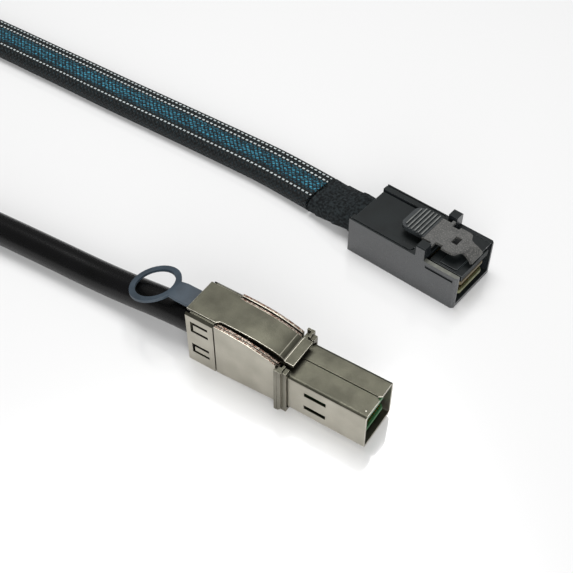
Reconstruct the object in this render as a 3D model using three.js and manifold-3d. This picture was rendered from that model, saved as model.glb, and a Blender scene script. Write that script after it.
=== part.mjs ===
// Mini SAS HD adaptor cable: an external plug with a pull tab at one end, an internal plug with a
// thumb latch at the other. Millimetres, +Z up. The external plug lies along X with its mating end
// towards +X, and the origin is the middle of the underside of its flange.
import * as THREE from "three";
import { mergeVertices } from "three/addons/utils/BufferGeometryUtils.js";
import Module from "manifold-3d";

const wasm = await Module();
wasm.setup();

// Clearances
const gap = 0.3; // between fixed pieces that meet
const slideGap = 0.35; // between a moving piece and what it moves past
const join = 0.2; // how far two bodies that become one piece reach into each other
const beyond = 40; // how far an open cut reaches past the pieces

// External plug: nose and flange
const noseLength = 20.2;
const noseWidth = 11.9;
const noseHeight = 11.3;
const noseFloor = 0.9; // underside of the nose above the foot of the flange
const noseSheet = 0.5;
const noseCorner = 0.9;
const noseSeamWidth = 0.2;
const slotLength = 5.7;
const slotHeight = 1.2;
const slotSetback = 4.3; // from the flange to the side slots
const flangeLength = 2.9;
const flangeReach = 1.2; // how far the rim stands out beside the shell
const flangeHeight = 14.3;
const rimLength = 1.85; // of the flange's length, from its rear
const rimCut = 0.9; // slanted corner at the foot of the rim
const rimGroove = 0.15; // depth and width of the line along the rim
const rimGrooveSetback = 0.75;
const neckWall = 0.4; // of the flange round the nose
const neckDrop = 0.6; // top of the neck below the rim
const pocketDepth = 1.2; // in the rim's top corners
const pocketWall = 0.6; // round each pocket

// External plug: shell
const shellWidth = 12.2;
const shellWall = 0.8;
const shellLength = 17.2; // the smooth tapered part
const shellFoot = 0.1; // its rear underside above the foot of the flange
const shellRise = 1.2; // how far its underside climbs towards the flange
const shellRearHeight = 16.5;
const shellFrontHeight = 14.0;
const shellCrown = 2.6; // how late the top edge falls towards the flange; 1 is a straight line
const bandLength = 7.9; // the rear band with the lanced slots
const bandSheet = 0.5;
const bandChamfer = 0.7;
const bandMouthCut = 4.0; // length of the cutter that opens the band for the cable
const lanceWidth = 0.8;
const lanceLength = 4.9;
const lanceSetback = 1.3;
const lanceSpans = [
  [3.7, 6.0],
  [11.0, 13.7],
]; // heights between which each pair of slots runs
const railSheet = 0.5;
const railReach = 0.7; // play between the rail of the inner lid and the edge of the cover
const lidSheet = 0.8;
const coverSheet = 0.6;
const coverStep = 1.5; // length of cover ahead of the seam before it falls
const coverProud = 0.35; // cover above the top edge of the band
const coverLipLength = 2.5;
const coverLipWidth = 8.2;
const coverLipHeight = 14.5;
const coverBendRun = 1.3;
const coverBendDrop = 0.7;

// External plug: release
const tabThickness = 0.9;
const strapWidth = 5.6;
const ringOuter = 13.0; // across the pull ring
const ringBand = 1.5;
const ringDroop = 3.8; // rear of the ring below the strap: it sinks towards the cable
const strapReach = 8.2; // from the rear band to the ring
const sliderWidth = 7.2;
const sliderSheet = 0.7;
const releaseTravel = 2.0;
const tabTongueLength = 1.2; // tongue of the strap that sits in the slider
const tabTongueShare = 0.45; // of the strap's width
const latchPivotShare = 0.6; // of the shell's length, from its rear
const latchTail = 1.8; // of the latch arm behind its pivot
const latchSheet = 0.35;
const latchWidth = 7.6;
const latchHook = 0.5;

// Cards and wires in both plugs
const cardThickness = 1.0;
const cardPitch = 4.2;
const cardChamfer = 0.5;
const extCardWidth = 8.8;
const extCardLength = 26.0;
const extCardSetback = 1.1; // front edge of the cards behind the mouth
const extCardHeight = 3.9; // middle of the lower card
const holderLength = 4.4;
const wireThickness = 1.4;
const extWireWidth = 7.4;

// Internal plug
const intLength = 33.0;
const intWidth = 17.2;
const intHeight = 10.8;
const intWall = 1.2;
const intShoulder = 2.3; // shoulder strip along the top of each side
const shoulderRise = 0.35; // shoulder above the housing
const shoulderSheet = 1.05;
const shoulderCut = 0.9; // slanted corner at the front end of the shoulder
const shoulderLip = 0.35; // wall outside the groove along the shoulder
const shoulderGroove = 0.42; // width of that groove
const shoulderGrooveDepth = 0.5;
const shoulderEnd = 13.9; // from the front face to the end of the shoulder
const intCoverSheet = 1.0;
const intCoverDrop = 0.25;
const mouthCut = 0.6; // slanted outer edges of the mouth
const scoopDepth = 0.3; // long shallow scoop in each side below the mouth's edge
const scoopDrop = 1.1;
const scoopHeight = 0.9;
const postLength = 2.6;
const postWidth = 2.8;
const postRise = 3.8;
const postSetback = 9.9; // front face of the posts behind the mouth
const deckWidth = 3.2; // of the far deck beside the latch plate
const deckSheet = 0.6;
const deckDrop = 0.15;
const deckFrontWidth = 4.9;
const leverSheet = 0.8;
const leverRise = 2.9; // top of the latch plate above the housing
const leverWidth = 9.0;
const leverNose = 4.5;
const leverNoseDrop = 1.5;
const padLength = 7.4;
const padWidth = 8.6;
const padThickness = 1.2;
const padRibs = 6;
const padRibHeight = 0.45;
const padRibWidth = 0.55;
const padCorner = 2.0;
const catchWidth = 2.6; // square hole in the latch plate
const catchLength = 1.7;
const insulatorHeight = 9.7;
const insulatorThickness = 1.7;
const insulatorPad = 0.6;
const insulatorPadEdges = [-5.6, 2.6]; // near and far edge of the raised pad
const insulatorPadSetback = 1.9;
const insulatorTrench = 1.3; // open strip beside the block
const padBlunt = 0.5; // cut corner of that pad
const insulatorPadLength = 4.9;
const combLength = 2.2;
const intCardWidth = 10.6;
const intCardLength = 20.0;
const intCardSetback = 0.6;
const intCardHeight = 2.9;
const intWireWidth = 8.6;

// Cable
const cableDiameter = 8.0;
const cableHeight = 7.2; // cable axis at the external plug
const ferruleWall = 0.8;
const ferruleLength = 5.0;
const sleeveWidth = 13.0;
const sleeveThickness = 5.0;
const sleeveCorner = 2.0;
const wrapLength = 18.5;
const wrapRearWidth = 13.4;
const wrapShift = 1.2; // sideways, of its rear end
const wrapSeat = 1.0; // how far it reaches into the housing
const wrapRearHeight = 5.6;
const wrapFrontWidth = 12.2;
const wrapFrontHeight = 7.4;
const bootFlatWidth = 13.0;
const bootFlatHeight = 6.4;
const bootRoundDiameter = 10.0;

// Where the internal plug lies beside the external one: the end of its cable wrap, and its turn
const wrapEnd = new THREE.Vector3(-28.85, 57.58, 0);
const intYaw = THREE.MathUtils.degToRad(-6.5);

// Routes of the two free stretches and the boot that joins them
const cableRoute = [
  [-27.0, 0, cableHeight],
  [-33.5, 0, 6.95],
  [-40.5, 0, 6.2],
  [-48.5, -0.05, 5.1],
  [-58.0, -0.2, 4.25],
  [-74.0, -0.7, 4.05],
  [-90.0, -1.4, 4.05],
  [-108.0, -2.4, 4.05],
  [-128.0, -4.0, 4.05],
  [-148.0, -5.6, 4.05],
  [-170.0, -6.8, 4.05],
  [-190.0, -7.3, 4.05],
  [-206.0, -7.0, 4.05],
  [-223.0, -2.6, 4.05],
  [-236.0, 9.5, 4.05],
  [-241.5, 28.5, 4.05],
  [-236.5, 47.0, 4.05],
  [-224.0, 59.6, 4.05],
  [-213.0, 63.7, 4.8],
  [-203.6, 64.0, 5.0],
];
const sleeveRoute = [
  [-29.4, 57.65, 2.95],
  [-38.0, 58.9, 2.75],
  [-48.0, 60.0, 2.65],
  [-60.0, 60.6, 2.6],
  [-74.0, 61.1, 2.6],
  [-90.0, 61.6, 2.6],
  [-106.0, 62.1, 2.6],
  [-122.0, 62.8, 2.6],
  [-138.0, 63.4, 2.6],
  [-154.0, 63.9, 2.7],
  [-168.9, 64.0, 3.1],
];
const bootStart = new THREE.Vector2(-203.2, 64.0);
const bootEnd = new THREE.Vector2(-169.2, 64.0);

// Planes of the external plug along X
const flangeFront = flangeLength / 2;
const flangeBack = -flangeLength / 2;
const noseTip = flangeFront + noseLength;
const noseTop = noseFloor + noseHeight;
const shellFront = flangeBack - gap;
const shellSeam = flangeBack - shellLength;
const bandRear = shellSeam - bandLength;
const coverTop = shellRearHeight + coverProud;
const lidTop = cableHeight + cableDiameter / 2 + ferruleWall + 2 * gap + lidSheet;
const sliderBottom = lidTop + slideGap;
const ferruleRear = bandRear + bandSheet + gap;
const ferruleFront = ferruleRear + ferruleLength;
const tabFront = bandRear + bandSheet + releaseTravel + 1.7;
const leverTop = intHeight + leverRise;
const leverPivot = [-postSetback - 0.5, leverTop - leverSheet / 2];
const wrapFront = intWall + wrapSeat - intLength;
const wrapRear = wrapFront - wrapLength;
const intCardPitch = cardPitch * 0.75;
const sCurveRear = -5.2; // where the latch plate starts to narrow
const sCurveFront = -2.4; // where it has the width of its nose
const latchPivot = [shellSeam + shellLength * latchPivotShare, lidTop + slideGap];

// Solids and meshes

function solid(geometry) {
  const bare = geometry.index ? geometry.toNonIndexed() : geometry.clone();
  bare.deleteAttribute("normal");
  bare.deleteAttribute("uv");
  const merged = mergeVertices(bare, 1e-4);
  const triVerts = new Uint32Array(merged.index.array);
  const made = new wasm.Manifold(
    new wasm.Mesh({ numProp: 3, vertProperties: merged.attributes.position.array, triVerts }),
  );
  if (made.volume() > 0) return made;
  for (let i = 0; i < triVerts.length; i += 3) {
    [triVerts[i + 1], triVerts[i + 2]] = [triVerts[i + 2], triVerts[i + 1]];
  }
  return new wasm.Manifold(
    new wasm.Mesh({ numProp: 3, vertProperties: merged.attributes.position.array, triVerts }),
  );
}

function finish(kind) {
  const finishes = {
    nickel: [0x9b988c, 0.38, 0.9],
    nickelDark: [0x77766a, 0.42, 0.9],
    card: [0x4c6b4a, 0.5, 0.0],
    blackPlastic: [0x34393a, 0.6, 0.0],
    greyPlastic: [0x6c6b68, 0.55, 0.1],
    blue: [0x45566a, 0.55, 0.0],
    jacket: [0x1c1c1e, 0.6, 0.0],
    braid: [0x1f4d5c, 0.7, 0.0],
    wrap: [0x2c2f31, 0.85, 0.0],
    wire: [0xb9bcc0, 0.5, 0.2],
    brass: [0xa08a4a, 0.4, 0.9],
  };
  const [color, roughness, metalness] = finishes[kind];
  return new THREE.MeshStandardMaterial({ color, roughness, metalness });
}

function piece(group, name, body, kind) {
  const cut = body.getMesh();
  const count = cut.numVert;
  const points = new Float32Array(count * 3);
  for (let i = 0; i < count; i++) {
    points.set(cut.vertProperties.subarray(i * cut.numProp, i * cut.numProp + 3), i * 3);
  }
  const geometry = new THREE.BufferGeometry();
  geometry.setAttribute("position", new THREE.BufferAttribute(points, 3));
  geometry.setIndex(new THREE.BufferAttribute(cut.triVerts, 1));
  geometry.computeVertexNormals();
  const mesh = new THREE.Mesh(geometry, finish(kind));
  mesh.name = name;
  group.add(mesh);
  return mesh;
}

// A box between two corners.
function block([x0, x1], [y0, y1], [z0, z1]) {
  const box = new THREE.BoxGeometry(x1 - x0, y1 - y0, z1 - z0);
  return solid(box.translate((x0 + x1) / 2, (y0 + y1) / 2, (z0 + z1) / 2));
}

function outline(points) {
  return new THREE.Shape(points.map(([a, b]) => new THREE.Vector2(a, b)));
}

// An outline in X and Z, carried across Y.
function sideCut(points, [y0, y1]) {
  const made = new THREE.ExtrudeGeometry(outline(points), { depth: y1 - y0, bevelEnabled: false });
  return solid(made.rotateX(Math.PI / 2).translate(0, y1, 0));
}

// An outline in X and Y, carried up Z.
function planCut(shape, [z0, z1], curveSegments = 6) {
  const drawn = Array.isArray(shape) ? outline(shape) : shape;
  const made = new THREE.ExtrudeGeometry(drawn, { depth: z1 - z0, bevelEnabled: false, curveSegments });
  return solid(made.translate(0, 0, z0));
}

// An outline in Y and Z, carried along X.
function frontCut(shape, [x0, x1], curveSegments = 4) {
  const drawn = Array.isArray(shape) ? outline(shape) : shape;
  const made = new THREE.ExtrudeGeometry(drawn, { depth: x1 - x0, bevelEnabled: false, curveSegments });
  const turn = new THREE.Matrix4().makeBasis(
    new THREE.Vector3(0, 1, 0),
    new THREE.Vector3(0, 0, 1),
    new THREE.Vector3(1, 0, 0),
  );
  return solid(made.applyMatrix4(turn).translate(x0, 0, 0));
}

function roundedRect(width, height, radius, centreY = 0) {
  const shape = new THREE.Shape();
  const [x, y] = [width / 2, height / 2];
  shape.moveTo(-x + radius, centreY - y);
  shape.lineTo(x - radius, centreY - y);
  shape.absarc(x - radius, centreY - y + radius, radius, -Math.PI / 2, 0);
  shape.lineTo(x, centreY + y - radius);
  shape.absarc(x - radius, centreY + y - radius, radius, 0, Math.PI / 2);
  shape.lineTo(-x + radius, centreY + y);
  shape.absarc(-x + radius, centreY + y - radius, radius, Math.PI / 2, Math.PI);
  shape.lineTo(-x, centreY - y + radius);
  shape.absarc(-x + radius, centreY - y + radius, radius, Math.PI, 1.5 * Math.PI);
  return shape;
}

// Outline of a strip of even width on the right-hand side of a line.
function strip(points, width) {
  const line = points.map(([a, b]) => new THREE.Vector2(a, b));
  const beside = line.map((point, i) => {
    const before = line[Math.max(i - 1, 0)];
    const after = line[Math.min(i + 1, line.length - 1)];
    const along = after.clone().sub(before).normalize();
    return [point.x + along.y * width, point.y - along.x * width];
  });
  return [...points, ...beside.reverse()];
}

// A bent sheet: its upper face runs through the points, and its thickness hangs below them.
function sheet(points, thickness, span) {
  return sideCut(strip(points, thickness), span);
}

const mix = THREE.MathUtils.lerp;

const mirrored = (body) => body.mirror([0, 1, 0]);

function bothSides(body) {
  return body.add(mirrored(body));
}

// A solid of one section along X whose half width, half height and middle change on the way.
function taper(section, [x0, x1], steps, sizeAt) {
  const made = new THREE.ExtrudeGeometry(section, {
    depth: 1,
    steps,
    bevelEnabled: false,
    curveSegments: 4,
  });
  const place = made.attributes.position;
  for (let i = 0; i < place.count; i++) {
    const share = place.getZ(i);
    const { halfWidth, halfHeight, middle, aside } = sizeAt(share);
    const [a, b] = [place.getX(i), place.getY(i)];
    place.setXYZ(i, mix(x0, x1, share), aside + a * halfWidth, middle + b * halfHeight);
  }
  return solid(made);
}

// Points of an edge that starts level and falls ever faster from one end to the other.
function fall(from, to, steps) {
  return Array.from({ length: steps + 1 }, (_, i) => {
    const share = i / steps;
    return [mix(from[0], to[0], share), mix(from[1], to[1], share ** shellCrown)];
  });
}

const bendRear = flangeFront + 0.4 - coverLipLength - coverBendRun;
const bendFront = bendRear + coverBendRun;
const lipFront = bendFront + coverLipLength;
const bendHeight = coverLipHeight + coverBendDrop;

function coverPoints() {
  return [
    [bandRear - gap, coverTop],
    ...fall([shellSeam + coverStep, coverTop], [bendRear, bendHeight], 5),
    [bendFront, coverLipHeight],
    [lipFront, coverLipHeight],
  ];
}

// External plug: outer shells

function lowerShell() {
  const half = shellWidth / 2;
  const rear = shellSeam + gap / 2;
  const outer = [
    [rear, shellFoot],
    [shellFront, shellRise],
    ...fall([rear, shellRearHeight], [shellFront, shellFrontHeight], 8).reverse(),
  ];
  const inner = [
    [rear - 1, shellWall],
    [shellFront + 1, shellRise + shellWall],
    [shellFront + 1, shellRearHeight + 1],
    [rear - 1, shellRearHeight + 1],
  ];
  return sideCut(outer, [-half, half]).subtract(sideCut(inner, [shellWall - half, half - shellWall]));
}

function lidOutline(raise) {
  const slopeStart = shellSeam + shellLength * 0.4;
  return [
    [bandRear + bandSheet + gap, lidTop + raise],
    [slopeStart, lidTop + raise],
    [shellFront, noseTop + raise],
  ];
}

function upperShell() {
  const half = shellWidth / 2 - shellWall - gap;
  const lid = sheet(lidOutline(0), lidSheet, [-half, half]);
  const railTop = [
    [shellSeam + gap, lidTop - lidSheet / 2],
    [shellFront, noseTop - lidSheet / 2],
    ...fall([shellSeam + gap, shellRearHeight - gap], [shellFront, shellFrontHeight - gap], 8).reverse(),
  ];
  return lid.add(bothSides(sideCut(railTop, [half - railSheet, half])));
}

function rearBand() {
  const half = shellWidth / 2;
  const top = shellRearHeight;
  const outer = [
    [-half, 0],
    [half, 0],
    [half, top - bandChamfer],
    [half - bandChamfer, top],
    [bandChamfer - half, top],
    [-half, top - bandChamfer],
  ];
  const side = half - bandSheet;
  const shoulder = top - bandChamfer - bandSheet / 3;
  const inner = [
    [-side, bandSheet],
    [side, bandSheet],
    [side, shoulder],
    [side - bandChamfer, top - bandSheet / 3],
    [side - bandChamfer, top + 1],
    [bandChamfer - side, top + 1],
    [bandChamfer - side, top - bandSheet / 3],
    [-side, shoulder],
  ];
  let band = frontCut(outer, [bandRear, shellSeam - gap / 2]);
  band = band.subtract(frontCut(inner, [bandRear + bandSheet, shellSeam + 1]));
  band = band.subtract(block([bandRear - 1, bandRear + 1], [-side, side], [lidTop, top + 1]));
  const mouth = new THREE.CylinderGeometry(1, 1, bandMouthCut, 24);
  mouth.scale(cableDiameter / 2 + gap, 1, cableDiameter / 2 + gap).rotateZ(Math.PI / 2);
  band = band.subtract(solid(mouth.translate(bandRear, 0, cableHeight)));
  for (const slot of bandLances()) band = band.subtract(slot);
  return band;
}

// Two tongues on each side, each freed by a slot with three sides that opens towards the nose.
function bandLances() {
  const rear = bandRear + lanceSetback;
  const front = rear + lanceLength;
  const across = [-shellWidth, shellWidth];
  return lanceSpans.map(([low, high]) => {
    const arm = (z) => block([rear, front], across, [z - lanceWidth / 2, z + lanceWidth / 2]);
    const end = block([rear, rear + lanceWidth], across, [low, high]);
    return end.add(arm(low)).add(arm(high));
  });
}

function topCover() {
  const rearHalf = shellWidth / 2 - bandChamfer - bandSheet;
  const edgeHalf = shellWidth / 2 - shellWall - gap - railSheet - railReach / 2;
  const frontHalf = edgeHalf - railReach / 2;
  const plan = [
    [bandRear - 1, -rearHalf],
    [shellSeam, -rearHalf],
    [shellSeam + 0.8, -edgeHalf],
    [bendRear - 2, -frontHalf],
    [bendFront - gap, -frontHalf],
    [bendFront + gap, -coverLipWidth / 2],
    [lipFront + 1, -coverLipWidth / 2],
  ];
  const full = [...plan, ...plan.map(([x, y]) => [x, -y]).reverse()];
  const bent = sheet(coverPoints(), coverSheet, [-rearHalf, rearHalf]);
  return bent.intersect(planCut(full, [0, coverTop + 5]));
}

// External plug: flange and nose

// A rim that stops on the port, a neck round the nose, and a pocket in each top corner of the rim.
function flange() {
  const reach = shellWidth / 2 + flangeReach;
  const throatHalf = noseWidth / 2 + gap;
  const neck = throatHalf + neckWall;
  const rimFront = flangeBack + rimLength;
  const rimSide = [
    [flangeBack, 0],
    [rimFront - rimCut, 0],
    [rimFront, rimCut],
    [rimFront, flangeHeight],
    [flangeBack, flangeHeight],
  ];
  let ring = sideCut(rimSide, [-reach, reach]);
  ring = ring.add(block([flangeBack, flangeFront], [-neck, neck], [0, flangeHeight - neckDrop]));
  const grooveRear = flangeBack + rimGrooveSetback;
  const groove = block([grooveRear, grooveRear + rimGroove], [reach - rimGroove, beyond], [-1, beyond]);
  ring = ring.subtract(bothSides(groove));
  const throat = roundedRect(throatHalf * 2, noseHeight + 2 * gap, noseCorner, noseFloor + noseHeight / 2);
  ring = ring.subtract(frontCut(throat, [flangeBack - 1, flangeFront + 1]));
  const wellHalf = latchWidth / 2 + 2 * gap + pocketWall;
  ring = ring.subtract(block([flangeBack - 1, flangeFront + 1], [-wellHalf, wellHalf], [noseTop, beyond]));
  const pocket = block(
    [flangeBack - 1, rimFront - pocketWall],
    [wellHalf - join, reach - pocketWall],
    [flangeHeight - pocketDepth, beyond],
  );
  return ring.subtract(bothSides(pocket));
}

function noseShell() {
  const rear = flangeBack + 0.4;
  const middle = noseFloor + noseHeight / 2;
  const outer = roundedRect(noseWidth, noseHeight, noseCorner, middle);
  const inner = roundedRect(
    noseWidth - 2 * noseSheet,
    noseHeight - 2 * noseSheet,
    noseCorner - noseSheet,
    middle,
  );
  let shell = frontCut(outer, [rear, noseTip]).subtract(frontCut(inner, [rear - 1, noseTip + 1]));
  const seam = [0.4, 0.4 + noseSeamWidth];
  shell = shell.subtract(block([rear - 1, noseTip + 1], seam, [noseTop - 2 * noseSheet, noseTop + 1]));
  const notch = [
    [noseTip - 0.9, seam[0]],
    [noseTip + 1, seam[0] - 1.2],
    [noseTip + 1, seam[1] + 1.2],
    [noseTip - 0.9, seam[1]],
  ];
  shell = shell.subtract(planCut(notch, [noseTop - 2 * noseSheet, noseTop + 1]));
  for (const height of [extCardHeight + 0.5, extCardHeight + cardPitch + 0.9]) {
    const slot = block(
      [flangeFront + slotSetback, flangeFront + slotSetback + slotLength],
      [-noseWidth, noseWidth],
      [height - slotHeight / 2, height + slotHeight / 2],
    );
    shell = shell.subtract(slot);
  }
  return shell;
}

// Cards and wires

// A circuit card with its two leading corners cut off.
function card(length, width, front, height) {
  const half = width / 2;
  const plan = [
    [front - length, -half],
    [front - cardChamfer, -half],
    [front, cardChamfer - half],
    [front, half - cardChamfer],
    [front - cardChamfer, half],
    [front - length, half],
  ];
  return planCut(plan, [height - cardThickness / 2, height + cardThickness / 2]);
}

function wireBand(from, to, width) {
  const bendA = mix(from[0], to[0], 0.3);
  const bendB = mix(from[0], to[0], 0.7);
  const lift = wireThickness / 2;
  const line = [
    [from[0], from[1] + lift],
    [bendA, from[1] + lift],
    [bendB, to[1] + lift],
    [to[0], to[1] + lift],
  ];
  return sheet(line, wireThickness, [-width / 2, width / 2]);
}

function cardHolder() {
  const half = noseWidth / 2 - noseSheet - gap;
  const rear = flangeBack + 0.4;
  const bottom = noseFloor + noseSheet + gap;
  const top = noseTop - noseSheet - gap;
  let holder = block([rear, rear + holderLength], [-half, half], [bottom, top]);
  for (const height of [extCardHeight, extCardHeight + cardPitch]) {
    const slotHalf = extCardWidth / 2 + gap;
    const rise = cardThickness / 2 + gap;
    holder = holder.subtract(
      block([rear - 1, rear + holderLength + 1], [-slotHalf, slotHalf], [height - rise, height + rise]),
    );
  }
  return holder;
}

function ferrule() {
  const inner = cableDiameter / 2 + gap;
  const outer = inner + ferruleWall;
  const profile = [
    [inner, 0],
    [outer - 0.3, 0],
    [outer, 0.3],
    [outer, ferruleLength - 0.3],
    [outer - 0.3, ferruleLength],
    [inner, ferruleLength],
    [inner, 0],
  ].map(([r, h]) => new THREE.Vector2(r, h));
  const ring = new THREE.LatheGeometry(profile, 24).rotateZ(-Math.PI / 2);
  return solid(ring.translate(ferruleRear, 0, cableHeight));
}

// External plug: release

function pullTab() {
  const ringFront = bandRear - strapReach;
  const centre = ringFront - ringOuter / 2 + ringBand * 0.6;
  const half = strapWidth / 2;
  const ring = new THREE.Shape();
  ring.absarc(centre, 0, ringOuter / 2, 0, Math.PI * 2);
  const finger = new THREE.Path();
  finger.absarc(centre, 0, ringOuter / 2 - ringBand, 0, Math.PI * 2);
  ring.holes.push(finger);
  const tongue = half * tabTongueShare;
  const shoulder = tabFront - tabTongueLength;
  const strap = [
    [ringFront - 0.6, -half * 0.86],
    [ringFront + 2.5, -half],
    [shoulder, -half],
    [shoulder, -tongue],
    [tabFront, -tongue],
    [tabFront, tongue],
    [shoulder, tongue],
    [shoulder, half],
    [ringFront + 2.5, half],
    [ringFront - 0.6, half * 0.86],
  ];
  const plan = planCut(ring, [0, coverTop], 20).add(planCut(strap, [0, coverTop]));
  const top = sliderBottom + tabThickness;
  const ringRear = centre - ringOuter / 2;
  const slope = ringDroop / (ringFront + 1 - ringRear);
  const bend = [
    [ringRear - 1, top - ringDroop - slope],
    [ringFront + 0.5, top - slope * 0.5],
    [ringFront + 2.5, top],
    [tabFront + 1, top],
  ];
  return sheet(bend, tabThickness, [-ringOuter, ringOuter]).intersect(plan);
}

function slider() {
  const rear = tabFront - tabTongueLength + gap;
  const half = sliderWidth / 2;
  const keep = (strapWidth / 2) * tabTongueShare + gap;
  const front = latchPivot[0] - latchTail - slideGap;
  const plan = [
    [rear, -half],
    [front - 1.5, -half],
    [front, 1 - half],
    [front, half - 1],
    [front - 1.5, half],
    [rear, half],
    [rear, keep],
    [rear + tabTongueLength, keep],
    [rear + tabTongueLength, -keep],
    [rear, -keep],
  ];
  return planCut(plan, [sliderBottom, sliderBottom + sliderSheet]);
}

function latchArm() {
  const rear = latchPivot[0] - latchTail;
  const tip = flangeFront - 0.1;
  const low = noseTop + slideGap + latchSheet + 0.4;
  const knee = flangeBack - 1.0;
  const bend = [
    [rear, latchPivot[1] + 0.1],
    [latchPivot[0], latchPivot[1] - 0.1],
    [knee, low],
    [tip, low],
  ];
  const half = latchWidth / 2;
  let arm = sheet(bend, latchSheet, [-half, half]);
  const fork = block([knee, tip + beyond], [-half * 0.45, half * 0.45], [0, beyond]);
  arm = arm.subtract(fork);
  const hook = [
    [tip - 1.3, low - join],
    [tip, low - join],
    [tip - 0.5, low + latchHook * 0.6],
    [tip - 1.3, low + latchHook * 0.6],
  ];
  return arm.add(bothSides(sideCut(hook, [half * 0.55, half])));
}

// Internal plug

function intHousing() {
  const half = intWidth / 2;
  const side = half - intWall;
  let body = block([-intLength, 0], [-half, half], [0, intHeight]);
  body = body.subtract(block([intWall - intLength, 1], [-side, side], [intWall, intHeight + 1]));
  const throat = roundedRect(
    wrapFrontWidth + 2 * gap,
    wrapFrontHeight + 2 * gap,
    2.0,
    intWall + gap + wrapFrontHeight / 2,
  );
  body = body.subtract(frontCut(throat, [-intLength - 1, 2 - intLength]));
  const top = intHeight;
  const coverRoom = [intShoulder - half, half - intShoulder];
  const coverSeat = top - intCoverDrop - intCoverSheet - gap;
  body = body.subtract(block([-intLength - 1, 2 - intLength], coverRoom, [coverSeat, top + 1]));
  const postRear = -postSetback - postLength;
  const shoulderTop = top + shoulderRise;
  const shoulderLow = shoulderTop - shoulderSheet;
  let shoulder = block([-intLength, postRear + join], [half - intShoulder, half], [shoulderLow, shoulderTop]);
  const lip = half - shoulderLip;
  const grooveLine = [
    [-intLength - 1, lip],
    [-shoulderEnd - shoulderCut, lip],
    [-shoulderEnd, lip - shoulderCut],
    [-shoulderEnd, half - intShoulder - 1],
  ];
  const groove = strip(grooveLine, shoulderGroove);
  shoulder = shoulder.subtract(planCut(groove, [shoulderTop - shoulderGrooveDepth, shoulderTop + 1]));
  const post = frontCut(
    [
      [half, top - 2],
      [half, top + postRise - 0.3],
      [half - 0.3, top + postRise],
      [half - postWidth, top + postRise],
      [half - postWidth, top + 0.1],
      [half - intWall, top + 0.1],
      [half - intWall, top - 2],
    ],
    [postRear, -postSetback],
  );
  body = body.add(bothSides(shoulder.add(post))).add(farDeck());
  const scoop = block(
    [2 * gap - postSetback, -2 * mouthCut],
    [half - scoopDepth, beyond],
    [top - scoopDrop - scoopHeight, top - scoopDrop],
  );
  const corner = [
    [-mouthCut, half + join],
    [-mouthCut, half],
    [0, half - mouthCut],
    [join, half - mouthCut],
    [join, half + join],
  ];
  return body.subtract(bothSides(scoop.add(planCut(corner, [-1, beyond]))));
}

// Deck along the far wall, wider where the latch plate narrows to its nose.
function farDeck() {
  const wall = intWidth / 2 - join;
  const rearEdge = intWidth / 2 - deckWidth;
  const frontEdge = intWidth / 2 - deckFrontWidth;
  const plan = new THREE.Shape();
  plan.moveTo(-postSetback - join, wall);
  plan.lineTo(-postSetback - join, rearEdge);
  plan.lineTo(sCurveRear, rearEdge);
  plan.bezierCurveTo(sCurveRear + 2, rearEdge, sCurveFront - 2, frontEdge, sCurveFront, frontEdge);
  plan.lineTo(-intCardSetback, frontEdge);
  plan.lineTo(-intCardSetback, wall);
  const top = intHeight - deckDrop;
  return planCut(plan, [top - deckSheet, top]);
}

function intCover() {
  const half = intWidth / 2 - intShoulder - gap;
  const top = intHeight - intCoverDrop;
  const rear = gap - intLength;
  const plate = block([rear, -postSetback - gap], [-half, half], [top - intCoverSheet, top]);
  const wing = block(
    [intWall + gap - intLength, -shoulderEnd],
    [-(intWidth / 2 - intWall - gap), intWidth / 2 - intWall - gap],
    [top - intCoverSheet - 0.8, intHeight + shoulderRise - shoulderSheet - gap],
  );
  const room = block(
    [-intLength - 1, -shoulderEnd + 1],
    [-(half - 1.2), half - 1.2],
    [top - intCoverSheet - 2, top - intCoverSheet],
  );
  return plate.add(wing.subtract(room));
}

function leverPlan() {
  const half = leverWidth / 2;
  const nose = leverNose / 2;
  const webOut = intWidth / 2 - postWidth - gap;
  const rear = -postSetback - postLength - 0.7;
  const pivot = leverPivot[0];
  const notch = new THREE.Shape();
  notch.moveTo(rear - 0.5, -half);
  notch.lineTo(pivot - 0.45, -half);
  notch.lineTo(pivot - 0.45, -webOut);
  notch.lineTo(pivot + 0.45, -webOut);
  notch.lineTo(pivot + 0.45, 0.9 - half);
  notch.lineTo(pivot + 2.5, 0.9 - half);
  notch.lineTo(pivot + 2.5, -half);
  notch.lineTo(sCurveRear, -half);
  notch.bezierCurveTo(sCurveRear + 2, -half, sCurveFront - 2, -nose, sCurveFront, -nose);
  notch.lineTo(1.0, -nose - 0.3);
  notch.lineTo(1.0, nose + 0.3);
  notch.lineTo(sCurveFront, nose);
  notch.bezierCurveTo(sCurveFront - 2, nose, sCurveRear + 2, half, sCurveRear, half);
  notch.lineTo(pivot + 2.5, half);
  notch.lineTo(pivot + 2.5, half - 0.9);
  notch.lineTo(pivot + 0.45, half - 0.9);
  notch.lineTo(pivot + 0.45, webOut);
  notch.lineTo(pivot - 0.45, webOut);
  notch.lineTo(pivot - 0.45, half);
  notch.lineTo(rear - 0.5, half);
  return notch;
}

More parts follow.
